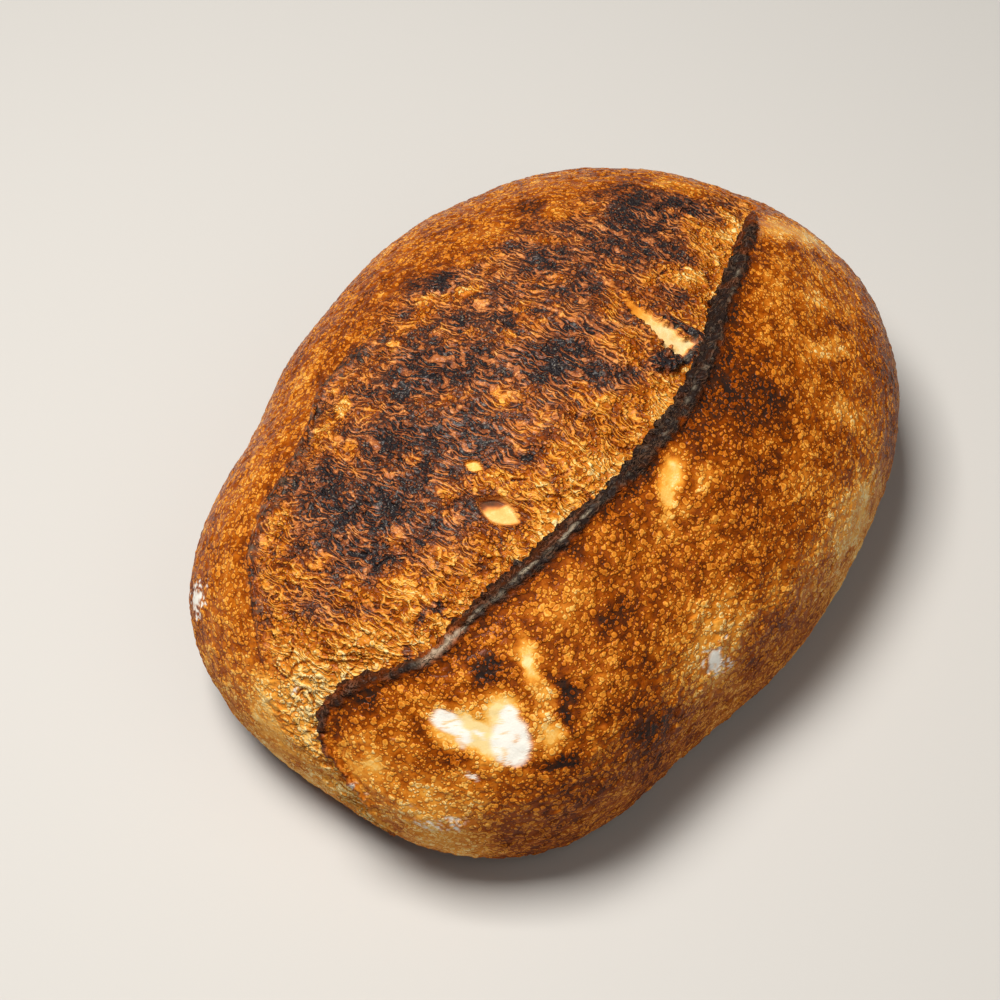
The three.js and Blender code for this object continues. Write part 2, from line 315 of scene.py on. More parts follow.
def noise(p, size, seed):
    """Smooth noise from about -1 to 1, with lumps of a size in millimetres."""
    q = p / size + 1000
    cell = np.floor(q).astype(np.int32)
    f = (q - cell).astype(np.float32)
    fade = f * f * f * (f * (f * 6 - 15) + 10)
    total = np.zeros(p.shape[:-1], np.float32)
    for dx in (0, 1):
        wx = fade[..., 0] if dx else 1 - fade[..., 0]
        for dy in (0, 1):
            wy = fade[..., 1] if dy else 1 - fade[..., 1]
            for dz in (0, 1):
                wz = fade[..., 2] if dz else 1 - fade[..., 2]
                gx, gy, gz = [2 * draw - 1 for draw in draws(lattice(cell + (dx, dy, dz), seed))]
                slope = gx * (f[..., 0] - dx) + gy * (f[..., 1] - dy) + gz * (f[..., 2] - dz)
                total += wx * wy * wz * slope
    return total * 1.6


def layered(p, size, seed):
    """Three layers of noise, each finer and weaker than the last."""
    total = 0
    for k in range(3):
        total = total + noise(p, size / 2**k, seed + k) / 1.7**k
    return total


def ridged(p, size, seed):
    """1 on thin winding ridges, falling to about 0 between them."""
    return 1 - np.minimum(1, np.abs(noise(p, size, seed)) * 2.4)


def torn_cracks(p, size, seed):
    """1 in narrow winding cracks, 0 beside them."""
    return 1 - smoothstep(0.015, 0.075, np.abs(noise(p, size, seed)))


def bubbles(p, size, seed, share=1.0):
    """Round blisters: their height from 0 to 1, and a random number for each."""
    q = p / size + 1000
    cell = np.floor(q).astype(np.int32)
    best = np.zeros(p.shape[:-1])
    chance = np.zeros(p.shape[:-1])
    for dx in (-1, 0, 1):
        for dy in (-1, 0, 1):
            for dz in (-1, 0, 1):
                c = cell + (dx, dy, dz)
                k = lattice(c, seed + 77)
                off = np.stack(draws(lattice(c, seed)), -1) - q + c
                width, rarity, _ = draws(k)
                radius = 0.34 + 0.3 * width
                dome = np.sqrt(np.maximum(0, 1 - (off**2).sum(-1) / radius**2)) * (rarity < share)
                better = dome > best
                best = np.where(better, dome, best)
                chance = np.where(better, (k >> np.uint32(20)) / 4095, chance)
    return best, chance


# A burst bubble: middle, reach along and across in plan, turn, depth
BURST = (-50, -10.6, 7.6, 4.2, -86, 3.6)
SMALL_BURST = (-42, 3.4, 3.2, 2.0, -80, 1.5)

# The pale tear: where it starts, its length and turn, its half widths at both ends, depth
TEAR_START = (35.5, -3)
TEAR_END = (34.5, -28)
TEAR_WIDTHS = (1.0, 4.6)
TEAR_DEPTH = 2.6
FLAP = (24, -25.2, 13, 8, -35, 2.4)


def burst_bubble(p, burst):
    """How far inside a burst bubble a place is, and how close to the deep end of its floor."""
    x, y, half_length, half_width, turn, depth = burst
    c = math.cos(turn * DEGREE)
    s = math.sin(turn * DEGREE)
    along = ((p[..., 0] - x) * c + (p[..., 1] - y) * s) / half_length
    wide = ((p[..., 1] - y) * c - (p[..., 0] - x) * s) / half_width
    wide = wide / np.maximum(0.15, 1 - 0.55 * along**2)
    inside = 1 - smoothstep(0.80, 1.06, np.sqrt(along**2 + wide**2))
    floor = inside * (0.62 - 0.38 * along + 0.2 * wide) * depth
    return inside, floor


def wedge(p):
    """The tear: how far inside it a place is, its share along it, and where it is across it."""
    run = np.subtract(TEAR_END, TEAR_START)
    length = np.hypot(*run)
    run = run / length
    off = p[..., :2] - TEAR_START
    share = (off @ run) / length
    aside = off[..., 0] * run[1] - off[..., 1] * run[0]
    half = mix(TEAR_WIDTHS[0], TEAR_WIDTHS[1], np.clip(share, 0, 1) ** 0.8)
    ragged = 0.5 * noise(p, 1.8, 97) + 0.5 * noise(p, 4, 98)
    inside = 1 - smoothstep(0.8, 1.1, np.abs(aside / half) + ragged)
    inside = inside * smoothstep(-0.06, 0.1, share) * (1 - smoothstep(0.98, 1.06, share + 0.5 * ragged / 4))
    return inside, share, aside / half


# -------- the crust as one grid of rows and columns

ROWS = 600
ROW_CROWDING = 0.2  # rows lie closer together over the middle of the loaf than at its poles

# Bands round the loaf, from the ear over the bloom, down the left, under the base and up the right
BANDS = [
    ("lip", 26),
    ("bloom", 200),
    ("crease", 14),
    ("left", 160),
    ("left_foot", 50),
    ("base", 40),
    ("right_foot", 50),
    ("right", 210),
]
LEFT_BELT = 180 * DEGREE
LEFT_RIM = 218 * DEGREE
RIGHT_RIM = 322 * DEGREE
RIGHT_BELT = 360 * DEGREE

band_start = {}
band_names = []
band_parts = []
for band, count in BANDS:
    band_start[band] = len(band_names)
    band_names += [band] * count
    band_parts += [k / count for k in range(count)]
band_names = np.array(band_names)
part = np.array(band_parts)[None, :]
COLUMNS = len(band_names)

row_share = np.linspace(0, 1, ROWS + 1)
row = (row_share * math.pi + ROW_CROWDING / 2 * np.sin(2 * math.pi * row_share))[:, None]
ear = route_columns(EAR_ROUTE, row)
crease = np.maximum(route_columns(CREASE_ROUTE, row), ear + LEAST_BLOOM)
ear_strength = strength(EAR_FADE, row)
crease_strength = strength(CREASE_FADE, row)
at_ear = dough(from_row_and_column(row, ear))
ear_steps = np.linalg.norm(np.diff(at_ear[:, 0], axis=0), axis=-1)
along_ear = np.concatenate([[0], np.cumsum(ear_steps)])[:, None]

STEP = 0.01  # in radians
LEAST_RADIUS = 14


def row_radius(start):
    """Each row's radius at a column, in millimetres, which turns angles into widths."""
    here = dough(from_row_and_column(row, start))
    beside = dough(from_row_and_column(row, start + STEP))
    return np.maximum(LEAST_RADIUS, np.linalg.norm(beside - here, axis=-1) / STEP)


per_mm = 1 / row_radius(ear)


def lip_curve(t):
    """The lip's section as a smooth curve: t from 0 to 1, columns across, lift share and valley share."""
    last = len(LIP_SECTION) - 1
    position = np.clip(t * last, 0, last - 1e-6)
    i = np.floor(position).astype(int)
    f = (position - i)[..., None]
    a = LIP_SECTION[np.maximum(i - 1, 0)]
    b = LIP_SECTION[i]
    c = LIP_SECTION[i + 1]
    d = LIP_SECTION[np.minimum(i + 2, last)]
    return 0.5 * (2 * b + (c - a) * f + (2 * a - 5 * b + 4 * c - d) * f**2 + (3 * b - a - 3 * c + d) * f**3)


def zigzag(size, seed):
    """Teeth along the ear, a size in millimetres apart."""
    level = np.zeros_like(along_ear)
    return noise(np.stack([along_ear, level, level], -1), size, seed)


teeth = 1.6 * (np.abs(zigzag(6.5, 5)) + np.abs(zigzag(2.9, 6)) + zigzag(1.6, 7)) - 0.9
ear_x = at_ear[..., 0]
lip_width = (0.4 + 0.6 * ear_strength) * np.interp(ear_x, *np.transpose(EAR_WIDTHS))
lip_start = LIP_SECTION[0, 0]
lip_end = LIP_SECTION[-1, 0]

column = np.zeros((ROWS + 1, COLUMNS))
across = np.zeros((ROWS + 1, COLUMNS))
rise = np.zeros((ROWS + 1, COLUMNS))
bloom = np.zeros((ROWS + 1, COLUMNS))
lip = np.zeros((ROWS + 1, COLUMNS))


def columns_of(band):
    return np.flatnonzero(band_names == band)


def fill_band(band, start, end):
    cols = columns_of(band)
    column[:, cols] = start + (end - start) * part[:, cols]
    return cols


# The lip: up over the ear, under its edge and down into the valley
cols = columns_of("lip")
section = lip_curve(part[:, cols])
toothed = EAR_TEETH * teeth * np.clip(1 - np.abs(section[..., 0] - 4) / 3, 0, 1)
across[:, cols] = section[..., 0] * lip_width + toothed * ear_strength
column[:, cols] = ear + across[:, cols] * per_mm
rise[:, cols] = ear_strength * (EAR_LIFT * section[..., 1] - VALLEY_DEPTH * section[..., 2])
bloom[:, cols] = np.clip(section[..., 2], 0, 1) * ear_strength
lip[:, cols] = 1 - np.clip(section[..., 2], 0, 1)

# The bloom, from the valley to the groove before the crease
cols = fill_band("bloom", ear + lip_end * lip_width * per_mm, crease - CREASE_BEFORE * per_mm)
across[:, cols] = (column[:, cols] - ear) / per_mm
rise[:, cols] = -ear_strength * VALLEY_DEPTH * np.exp(-(((across[:, cols] - lip_end) / VALLEY_REACH) ** 2))
rise[:, cols] -= crease_strength * CREASE_GROOVE * smoothstep(0.8, 1, part[:, cols])
bloom[:, cols] = 1

# The crease's groove and ridge
cols = fill_band("crease", crease - CREASE_BEFORE * per_mm, crease + CREASE_PAST * per_mm)
t = part[:, cols]
ridge = CREASE_RIDGE * np.sin(math.pi * np.clip(t * 1.2, 0, 1))
groove = CREASE_GROOVE * (1 - smoothstep(0, 0.4, t))
rise[:, cols] = crease_strength * (ridge - groove)
bloom[:, cols] = 1 - crease_strength * smoothstep(0, 0.5, t)
across[:, cols] = (column[:, cols] - ear) / per_mm

# The skin, from the crease round under the loaf and up to the lip, where it swells
for band, start, end in (
    ("left", crease + CREASE_PAST * per_mm, LEFT_BELT),
    ("left_foot", LEFT_BELT, LEFT_RIM),
    ("base", LEFT_RIM, RIGHT_RIM),
    ("right_foot", RIGHT_RIM, RIGHT_BELT),
    ("right", RIGHT_BELT, ear + 2 * math.pi + lip_start * lip_width * per_mm),
):
    cols = fill_band(band, start, end)
    across[:, cols] = (column[:, cols] - 2 * math.pi - ear) / per_mm
    swell = LIP_SECTION[0, 1] * EAR_LIFT * np.exp(-(((across[:, cols] - lip_start) / EAR_REACH) ** 2))
    rise[:, cols] = ear_strength * swell

TINY = 1e-3  # a small step over the dough, in radians


def dough_change(row_step, column_step):
    """How the dough's surface moves over a small step to each side."""
    ahead = dough(from_row_and_column(row + row_step, column + column_step))
    return ahead - dough(from_row_and_column(row - row_step, column - column_step))


# The form: the dough with the ear, the bloom and its swellings on it
toward = from_row_and_column(row, column)
skin = dough(toward)
outward = np.cross(dough_change(0, TINY), dough_change(TINY, 0))
outward /= np.maximum(1e-9, np.linalg.norm(outward, axis=-1, keepdims=True))
off_table = smoothstep(0, 8, skin[..., 2])
rise += off_table * (UNEVENNESS * slow_waves(skin) + named_reliefs(skin))
form = skin + outward * (rise * off_table)[..., None]


def grid_normals(p):
    """Outward normals of the whole grid, closed round the loaf."""
    down = np.gradient(p, axis=0)
    wide = np.concatenate([p[:, -1:], p, p[:, :1]], axis=1)
    around = wide[:, 2:] - wide[:, :-2]
    n = np.cross(around, down)
    n[0] = n[1].mean(axis=0)
    n[-1] = n[-2].mean(axis=0)
    return n / np.maximum(1e-12, np.linalg.norm(n, axis=-1, keepdims=True))


# -------- scorched, pale and floured places

# Darker (above 0) and paler (below 0) places of the top: x, y, length, width, turn in degrees, how much
SCORCHES = [
    (-19, 32, 34, 24, -62, 0.34),  # black scorches of the bloom
    (-45, 31, 26, 13, -70, 0.28),
    (-70, 32, 42, 28, -75, 0.20),
    (4, 31, 28, 10, -75, 0.24),
    (13, 56, 20, 12, -60, 0.26),
    (39, 35, 24, 9, -80, 0.24),
    (74, 14, 46, 24, 35, 0.24),
    (88, 22, 22, 12, 20, -0.04),
    (92, 4, 28, 9, -70, 0.20),
    (5, 2, 30, 20, -70, 0.20),
    (-34, 10, 34, 22, -75, 0.18),
    (-82, 17, 24, 10, -75, 0.18),
    (-63, 1, 18, 4, -65, 0.22),
    (20, -1, 16, 4, -65, 0.22),
    (-84, -10, 6, 4, 0, 0.40),  # burnt curl behind the ear
    (-89, -8.5, 6, 2.5, 0, 0.30),
    (-97, -9, 5, 4, 90, 0.40),
    (-50, 25, 110, 55, 10, 0.06),
    (45, 20, 90, 45, 10, 0.06),
    (-93, 0, 36, 26, 60, -0.12),  # golden crumb
    (-26, -16, 14, 8, -60, -0.10),
    (60, 38, 10, 7, -70, -0.18),
    (63, 49, 18, 12, 0, 0.20),
    (52, 43, 14, 10, 0, 0.10),
    (3, 58, 16, 10, 12, 0.16),
    (-50, 44, 18, 10, -60, 0.10),
    (34, 62, 34, 14, 12, 0.06),
    (-2, 6, 26, 18, -60, 0.16),
    (-16, -4, 24, 12, -60, 0.12),
    (8, -16, 24, 11, -60, 0.19),
    (-30, -8, 22, 16, -60, 0.14),
    (80, -15, 18, 9, -20, 0.14),
    (-64, -13, 20, 10, -60, -0.12),
    (-105, 4, 26, 18, 60, -0.18),
    (-120, 10, 20, 16, 70, -0.14),
    (30, 22, 12, 7, -60, -0.12),
    (-116, 22, 30, 24, 60, -0.20),
    (-93, 46, 18, 9, 40, -0.12),
    (-28, 77, 30, 10, 20, -0.14),
    (-83, 48, 12, 9, -70, -0.20),
    (14, 44, 12, 5, -70, -0.28),
    (28, 50, 16, 8, -70, -0.14),
    (42, 58, 14, 8, -60, -0.12),
    (-40, 54, 11, 5, 20, -0.40),  # pale lump
    (58, -11, 16, 10, -60, -0.24),
    (55, -13, 7, 6, 0, -0.22),
    (98, -6, 14, 7, 60, -0.30),
    (100, 16, 26, 12, -70, -0.14),
    (-126, 6, 18, 10, 80, -0.20),  # heel, under the ear's end
    (-122, -19, 26, 13, -72, -0.16),
    (62, 46, 30, 14, -10, 0.10),
    (82, 31, 22, 10, -10, 0.10),
    (80, 12, 16, 10, 0, -0.12),
    (38, 19, 22, 12, 0, -0.10),
    (-9, 35, 16, 12, 0, -0.08),
    (-65, -19, 22, 8, 10, -0.12),
    (-33, -27, 26, 7, 10, -0.12),
    (-100, 38, 20, 14, 60, -0.12),
    (22, -50, 56, 34, -35, 0.15),  # brown places of the right skin
    (11, -70, 22, 14, -20, 0.12),
    (-30, -63, 20, 16, 0, 0.11),
    (49, -92, 24, 12, 0, -0.10),
    (-118, -36, 16, 10, 60, 0.12),
    (-97, -34, 12, 8, 0, 0.08),
    (-77, -42, 12, 9, 0, 0.08),
    (26, -58, 34, 20, -50, 0.14),
    (2, -68, 26, 10, -20, 0.03),
    (82, -61, 20, 6, -30, 0.14),
    (-58, -57, 22, 12, -30, 0.16),
    (-70, -74, 22, 12, -30, 0.17),
    (-90, -56, 14, 9, -30, 0.12),
    (-72, -80, 20, 10, -20, 0.16),
    (-82, -55, 13, 8, -60, 0.34),
    (-93, -34, 15, 9, -30, 0.28),
    (-97, -63, 12, 3, -40, 0.34),
    (-88, -59, 10, 3, 60, 0.30),
    (-104, -78, 26, 9, -30, 0.12),
    # a darker band along the lower right rim, painted shade where it faces away from the light
    (-66, -93, 70, 14, -18, 0.10),
    (-66, -42, 24, 14, -20, -0.12),  # golden and pale places of the right skin
    (-38, -52, 44, 20, -15, -0.10),
    (-15, -49.5, 24, 8, 28, -0.36),
    (-5, -45, 10, 8, 28, -0.20),
    (-5, -55, 14, 7, 24, -0.18),
    (-82, -41, 14, 8, 64, -0.34),
    (-87, -49, 21, 8, 62, -0.30),
    (-94, -59, 12, 10, 20, -0.24),
    (-102, -47, 20, 18, 20, -0.30),
    (-96, -44, 10, 9, 20, -0.20),
    (-109, -32, 19, 9, 96, -0.34),
    (-106, -40, 12, 7, 80, -0.26),
    (-93.5, -57, 9, 9, 20, -0.14),
    (-38, -82, 36, 20, 0, -0.24),
    (-5, -89, 26, 12, 0, -0.14),
    (80, -49, 16, 9, -30, -0.18),
    (66, -61, 17, 9, -30, -0.24),
    (52, -76, 20, 8, -30, -0.14),
    (30, -94, 40, 12, 0, -0.28),
    (103, -25, 44, 18, -40, -0.32),
    (-127, -40, 30, 24, -50, -0.28),
    (-130, -16, 30, 12, 90, -0.22),
    (-126, 20, 24, 14, 80, -0.16),
    (-126, 30, 28, 18, 80, -0.14),
    (-130, -6, 22, 12, 90, -0.10),
    (-104, -40, 22, 18, 20, -0.14),
]

# How ragged the rims of flour are, from its large patches to its flecks
LARGE_RIM = 0.16
SMALL_RIM = 0.50
FLECK_RIM = 1.1
LARGE_PATCH = 4

# Flour left on the crust: x, y, z, radii along, across and up, turn in degrees, how much
FLOURS = [
    (-102.3, -48.8, 72, 7.0, 6.6, 10, 20, 1.6),
    (-97.5, -45.0, 78, 2.6, 2.6, 5, 40, 1.4),
    (-108.4, -30.8, 76, 5.4, 3.2, 6, 100, 1.3),
    (-109.5, -36.5, 73, 3.4, 2.8, 4, 96, 1.1),
    (-106.3, -39.5, 73, 3.8, 2.0, 4, 76, 0.80),
    (-39.5, -83.5, 60, 3.4, 3.0, 5.5, 0, 1.02),
    (-39.5, -83.5, 60, 6.0, 4.6, 8, 0, 0.95),
    (-107, 66, 55, 2.6, 2.4, 9, 30, 1.02),
    (-107, 66, 55, 5, 4.6, 12, 30, 0.95),
    (-115.0, -44.5, 64.4, 3.6, 1.2, 2.2, 74, 0.8),
    (-115.5, -50.5, 59.5, 1.8, 1.0, 2, 60, 0.8),
    (-119.5, -18.6, 69.7, 1.4, 1.1, 2, 0, 0.8),
    (-131.7, -11.5, 52.5, 3, 2.0, 6, 0, 0.9),
    (-129.5, -15, 46, 3, 4.0, 5, 0, 0.8),
    (-122, 17, 62, 2.4, 2.0, 4, 0, 0.8),
    (-126, -40, 47, 8, 4, 4, -50, 0.55),
    (-124, -28, 50, 6, 4, 4, -70, 0.5),
]


def add_patch(target, apart, much, seed, ragged=0.30):
    """Add a patch with a ragged rim: full in its middle, nothing beyond about 1.7 times its radii."""
    near = apart < 1.75
    p = form[near]
    edge = apart[near] + ragged * noise(p, 7, seed) + 0.5 * ragged * noise(p, 2.2, seed + 1)
    target[near] += much * (1 - smoothstep(0.35, 1.3, edge))


height = form[..., 2]
upper = smoothstep(8, 24, height)
plan = form[..., :2] + 2.2 * np.stack([noise(form, 9, 91), noise(form, 9, 92)], -1)
scorch = np.zeros(height.shape)
for n, (x, y, length, width, turn, much) in enumerate(SCORCHES):
    add_patch(scorch, np.sqrt(oval(plan, x, y, length, width, turn)), much, 100 + 2 * n)
scorch *= upper

# Flour: thick patches, flecks, a thin dusting low on the left, and cracks in all of it
flour = np.zeros(height.shape)
flecks = np.zeros(height.shape)
for n, (x, y, z, along, wide, up, turn, much) in enumerate(FLOURS):
    apart = np.sqrt(oval(form, x, y, 2 * along, 2 * wide, turn) + ((height - z) / up) ** 2)
    if much > 1:
        add_patch(flour, apart, much, 300 + 2 * n, LARGE_RIM if along > LARGE_PATCH else SMALL_RIM)
    else:
        add_patch(flecks, apart, much, 300 + 2 * n, FLECK_RIM)
flecks = smoothstep(0.25, 0.6, flecks) * smoothstep(-0.05, 0.3, noise(form, 1.3, 403))
flour = np.maximum(smoothstep(0.25, 0.85, flour), flecks)
low_left = smoothstep(44, 20, height) * smoothstep(-60, 0, form[..., 1]) * upper
dusting = 0.7 * low_left * smoothstep(0.5, 0.9, layered(form, 20, 401))
flour = np.maximum(flour, dusting * smoothstep(0.2, 0.5, noise(form, 1.8, 404)))
flour_crack = torn_cracks(form, 4.5, 406) * smoothstep(-0.05, 0.15, noise(form, 7, 407))
flour_crack = np.maximum(flour_crack, 0.7 * smoothstep(0.42, 0.6, noise(form, 1.6, 405)))
flour *= 1 - 0.85 * flour_crack

pale = smoothstep(0.20, 0.42, -scorch)

# -------- torn crumb, blisters and ragged lip

# Heights of the fine relief, in millimetres
SMALL_BLISTERS = 0.24
LARGE_BLISTERS = 0.16
LOWER_RIGHT_BLISTERS = 0.30  # how much higher the large ones stand there
CRACK_DEPTH = 0.7
LONG_WRINKLES = 0.35
SHORT_WRINKLES = 0.15
LIP_LUMPS = 0.7
LIP_RIDGES = 0.9
LIP_PLATES = 0.5
FLAP_RIDGES = 0.8

# How far places are from the ear and the crease, over the whole grid
form_normal = grid_normals(form)
ears = np.broadcast_to(ear_strength, bloom.shape)
creases = np.broadcast_to(crease_strength, bloom.shape)
ear_x = np.broadcast_to(ear_x, bloom.shape)
over_lip = across / lip_width
past_crease = (column - crease) * row_radius(crease)

# Where the torn crumb ends on the left: at the crease, and in a ragged soft edge where that has faded
degrees = row / DEGREE
shoulder = 14 * smoothstep(10, 30, degrees) * (1 - smoothstep(60, 88, degrees))
straying = 6 * noise(form, 16, 21) + 4 * noise(form, 5, 22) - shoulder
softness = mix(14.0, 1.8, creases)
on_left = (band_names == "left") | (band_names == "crease") | (band_names == "bloom")
bloom = np.where(on_left, bloom + (band_names == "left"), bloom)
past_torn = past_crease + (1 - creases) * straying
bloom = bloom * np.where(on_left, 1 - smoothstep(-softness, softness, past_torn), 1)

# Crags of the torn crumb: height, stretch, curl, spacing, sharpness, what is taken off, noise number
CRAGS = [
    (0.75, 1.0, 2.6, 6.5, 1.0, 0.45, 41),
    (0.50, 1.2, 3.0, 3.4, 1.5, 0.35, 42),
    (0.35, 1.6, 2.4, 2.6, 1.5, 0.35, 43),
]
DRAWN_OUT = 0.38  # a crag's width, along the ear, as a share of its length across it


def wobble(size, seed):
    """Noise in three directions, to bend other noise."""
    return np.stack([noise(form, size, seed), noise(form, size, seed + 1), noise(form, size, seed + 2)], -1)


curl = wobble(7, 31)
squirm = 0.8 * wobble(3, 34)
drawn_out = np.stack([np.broadcast_to(along_ear, across.shape), across * DRAWN_OUT, height * DRAWN_OUT], -1)
crags = 0.20 * noise(form, 1.5, 45) + 0.7 * noise(form, 11, 44)
for high, stretch, curling, spacing, sharpness, less, seed in CRAGS:
    crags += high * (ridged(drawn_out * stretch + curling * curl, spacing, seed) ** sharpness - less)
cracks = torn_cracks(form + 2.2 * curl, 10, 46) * smoothstep(-0.2, 0.3, noise(form, 15, 47))

# Blisters and wrinkles of the skin
skin_share = 1 - bloom
off_lip = skin_share * (1 - lip * smoothstep(-3.8, -1.6, over_lip))
lower_right = smoothstep(-20, -70, form[..., 1]) * smoothstep(20, -40, form[..., 0])
blistered = off_lip * (1 - np.maximum(pale, smoothstep(0.1, 0.5, flour)))
domes, dome_chance = bubbles(form + squirm, 2.7, 51, 0.85)
big_domes, _ = bubbles(form + squirm, 4.6, 52, 0.4)
large_height = LARGE_BLISTERS + LOWER_RIGHT_BLISTERS * lower_right
blisters = SMALL_BLISTERS * np.minimum(1, 1.5 * domes) + large_height * np.minimum(1, 1.4 * big_domes)
wrinkles = LONG_WRINKLES * noise(form, 9, 61) + SHORT_WRINKLES * noise(form, 3, 62)

# Rags of the lip, burst bubbles, the pale tear and its charred flap
plates, _ = bubbles(form + 0.5 * curl, 3.4, 73)
rags = LIP_LUMPS * layered(form, 3.0, 71) + LIP_RIDGES * ridged(form, 2.2, 72) + LIP_PLATES * plates
lip_rags = lip * ears * smoothstep(-4.5, -1.5, over_lip)
burst, burst_floor = burst_bubble(form, BURST)
small_burst, small_floor = burst_bubble(form, SMALL_BURST)
tear, tear_share, tear_side = wedge(form)
tear = tear * (height > BELT_HEIGHT)
flap_edge = np.sqrt(oval(form, *FLAP[:5])) + 0.25 * noise(form, 2.5, 75)
flap = (1 - smoothstep(0.70, 1.05, flap_edge)) * (height > BELT_HEIGHT)

# All of it on the form
smooth = 1 - np.maximum(np.maximum(burst, small_burst), tear)
torn = bloom * smooth
fine_rise = torn * (crags - CRACK_DEPTH * cracks) + blistered * blisters
fine_rise += off_lip * wrinkles * smooth + lip_rags * rags
fine_rise -= burst_floor + small_floor + TEAR_DEPTH * tear * smoothstep(-0.1, 0.5, tear_share)
fine_rise += flap * (FLAP[5] + FLAP_RIDGES * ridged(form, 2.4, 74))
crust = form + form_normal * (fine_rise * off_table)[..., None]
crust[..., 2] = np.maximum(crust[..., 2], 0)

# -------- how far each place is baked

# 0 is pale, about half is golden brown and 1 is charred
GOLDEN_BROWN = 0.49

# How much each thing adds to that, or takes off it
UNEVEN_BAKE = 0.10
SIDES_PALER = 0.12
FOOT_DARKER = 0.22
LOWER_RIGHT_BROWNER_AND_SHADED = 0.09
GAPS_DARKER = 0.05
BLISTERS_PALER = 0.09
CRUMB_DARKER = 0.14
CRAGS_PALER = 0.15
CRACKS_DARKER = 0.22
EAR_FOOT_PALER = 0.12
EAR_SPOTS_PALER = 0.24
EAR_SIDE_PALER = 0.15
CREASE_DARKER = 0.05
CREASE_UNEVEN = 0.20
BESIDE_LIP_DARKER = 0.19
LEAST_CRUMB = 0.29
LEAST_HEEL_CRUMB = 0.20

# The lip's own browning, and where it is less
LIP_BACK = 0.84
LIP_EDGE = 0.98
MAROON_PALER = 0.12
TIP_SPOTS_PALER = 0.16
CURL_PALER = 0.24
HEEL_PALER = 0.10
LOW_PALER = 0.25

toast = GOLDEN_BROWN + UNEVEN_BAKE * (layered(form, 30, 81) + layered(form, 8, 82)) + scorch
toast -= SIDES_PALER * smoothstep(66, 36, height) * (0.6 + 0.8 * noise(form, 24, 85))
toast += FOOT_DARKER * smoothstep(16, 4, height)
# the lower right side darker: partly browner crust, partly painted shade on the side away from the light
toast += LOWER_RIGHT_BROWNER_AND_SHADED * lower_right * smoothstep(72, 48, height)
gap = 1 - smoothstep(0.1, 0.5, np.maximum(domes, big_domes))
toast += blistered * (GAPS_DARKER * gap - BLISTERS_PALER * domes * (dome_chance - 0.2))
crumb_bake = CRUMB_DARKER + UNEVEN_BAKE * layered(form, 14, 83)
toast += torn * (crumb_bake - CRAGS_PALER * crags + CRACKS_DARKER * cracks)

# The crumb is paler at the ear's foot and golden beside it, and darker along the crease
from_ear = np.clip(np.where(on_left, (column - ear) / per_mm, across) - 4, 0, None)
ear_side = from_ear / (7 + 4 * noise(form, 12, 86))
ear_spots = EAR_SPOTS_PALER * smoothstep(0.15, 0.5, noise(form, 4, 93))
ear_foot = (EAR_FOOT_PALER + ear_spots) * np.exp(-(ear_side**2))
golden_side = from_ear / (mix(22, 10, smoothstep(-20, 40, ear_x)) + 5 * noise(form, 12, 86))
toast -= (ear_foot + EAR_SIDE_PALER * np.exp(-(golden_side**2))) * bloom * ears
least = mix(LEAST_CRUMB, LEAST_HEEL_CRUMB, smoothstep(-90, -108, ear_x))
toast = np.where(bloom > 0.5, np.maximum(toast, least + 0.45 * (toast - least)), toast)
crease_line = creases * np.exp(-(((past_crease + 1.6 * noise(form, 5, 95)) / 3.4) ** 2))
toast += crease_line * (CREASE_DARKER + CREASE_UNEVEN * noise(form, 2, 87))

# Pale floors of the burst bubbles and the tear, painted shade at the burst bubble's deep end under its rim,
# and the tear's charred rim and flap
# painted shade: the deep end of the burst bubble's floor darker, where its rim overhangs
burst_shade = 0.70 * smoothstep(2.4, 3.2, burst_floor + 0.4 * noise(form, 3, 80))
toast = mix(toast, 0.12 + 0.07 * layered(form, 2.5, 96) + burst_shade, burst)
toast = mix(toast, 0.10, small_burst)
torn_rim = (1 - smoothstep(0.16, 0.46, np.abs(tear_side + 1.36))) * smoothstep(0.40, 0.55, tear_share)
tear_end = (1 - smoothstep(0, 0.10, np.abs(tear_share - 1.06))) * (np.abs(tear_side) < 1.5)
torn_rim = np.maximum(torn_rim, tear_end)
torn_rim = torn_rim * (tear_share < 1.16) * (height > BELT_HEIGHT)
toast = mix(toast, 0.40 - 0.36 * smoothstep(0.0, 0.55, tear_share) + 0.10 * noise(form, 2.5, 99), tear)
toast = mix(toast, 1.0, np.clip(1.3 * (torn_rim + flap), 0, 1))

# The burnt lip: dark up to its torn edge, browner towards the heel, pale along its crest
frayed = over_lip + 1.8 * noise(form, 3.4, 88) + 1.2 * noise(form, 1.6, 78)
burn_start = mix(-1.9, -3.0, smoothstep(50, 85, ear_x))
burn = lip * ears * smoothstep(-0.9, 0.7, frayed - burn_start)
tone = mix(LIP_BACK, LIP_EDGE, smoothstep(-0.2, 1.6, frayed - burn_start))
tone = tone + UNEVEN_BAKE * layered(form, 2.4, 84)
beside_lip = np.clip(-1 - across, 0, None) / (6 + 3 * noise(form, 9, 79))
toast += BESIDE_LIP_DARKER * skin_share * ears * np.exp(-(beside_lip**2))
maroon = smoothstep(-28, -50, ear_x) * smoothstep(0.4, 1.8, across)
maroon = maroon * (1 - smoothstep(3.2, 4.2, over_lip + 1.2 * noise(form, 3, 76)))
tip_spots = smoothstep(45, 65, ear_x) * smoothstep(0, 0.5, noise(form, 4, 74))
curl_end = smoothstep(-82, -88, ear_x) * smoothstep(-101, -95, ear_x) * (across > -1)
tone = tone - MAROON_PALER * maroon - TIP_SPOTS_PALER * tip_spots - CURL_PALER * curl_end
tone = tone - HEEL_PALER * smoothstep(-98, -106, ear_x) - LOW_PALER * smoothstep(66, 52, height)
burn = burn * (1 - 0.8 * smoothstep(58, 44, height))
toast = mix(toast, tone, burn)
